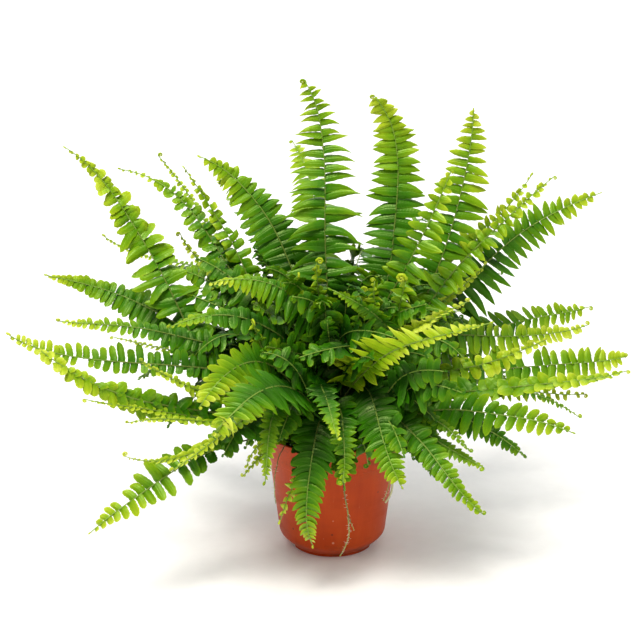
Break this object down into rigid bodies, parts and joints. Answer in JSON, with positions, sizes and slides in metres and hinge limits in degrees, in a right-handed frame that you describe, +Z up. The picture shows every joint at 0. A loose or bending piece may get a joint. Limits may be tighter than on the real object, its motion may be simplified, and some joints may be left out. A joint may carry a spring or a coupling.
{
  "type": "potted boston fern",
  "caption": "Boston fern with arching toothed fronds, rooted in compost in a thin tapered plastic nursery pot that stands on its foot.",
  "frame": {"origin": "middle of the pot's underside, on the surface that the pot stands on", "axes": "+Z up, -Y towards the side seen in the picture, +X to that view's right, along the plant's widest spread"},
  "size_m": [0.5277, 0.3856, 0.4165],
  "materials": {
    "terracotta_plastic": "thin semi-matt terracotta-coloured plastic",
    "potting_compost": "dark crumbly peat compost",
    "crown_rhizome": "scaly brown rootstock with old leaf bases",
    "runner_stem": "thin green runner with fine pale root hairs",
    "leaf": "satin green leaflets, lime at the growing tips"
  },
  "bodies": {
    "root": {"pot": "terracotta_plastic", "soil": "potting_compost", "crown": "crown_rhizome", "runner_front": "runner_stem", "runner_left": "runner_stem", "runner_right": "runner_stem", "frond_tall_centre": "leaf", "frond_tall_right": "leaf", "frond_upright_right": "leaf", "frond_curled_right": "leaf", "frond_tall_left": "leaf", "frond_curled_left": "leaf", "frond_high_left": "leaf", "frond_high_left_back": "leaf", "frond_far_left_back": "leaf", "frond_left_level": "leaf", "frond_left_narrow": "leaf", "frond_left_long": "leaf", "frond_left_broad": "leaf", "frond_left_curled": "leaf", "frond_left_low": "leaf", "frond_high_right": "leaf", "frond_high_right_back": "leaf", "frond_right_dark": "leaf", "frond_right_back": "leaf", "frond_right_level": "leaf", "frond_right_long": "leaf", "frond_right_folded": "leaf", "frond_right_thin": "leaf", "frond_right_sparse": "leaf", "frond_right_low": "leaf", "frond_right_drooping": "leaf", "frond_front_left_bright": "leaf", "frond_front_left": "leaf", "frond_front_right_bright": "leaf", "frond_middle_left_bright": "leaf", "frond_middle_right": "leaf", "frond_middle_left": "leaf", "frond_hanging_front": "leaf", "frond_hanging_left": "leaf", "frond_hanging_middle": "leaf", "frond_hanging_outer": "leaf", "frond_hanging_right": "leaf", "frond_hanging_far_right": "leaf", "frond_low_right": "leaf", "frond_back_high_left": "leaf", "frond_back_high": "leaf", "frond_back_high_right": "leaf", "frond_back_middle_left": "leaf", "frond_back_middle": "leaf", "frond_back_middle_right": "leaf", "frond_back_low_left": "leaf", "frond_back_low_centre_left": "leaf", "frond_back_low_centre_right": "leaf", "frond_back_low_right": "leaf", "frond_back_hanging": "leaf"}
  },
  "joints": []
}
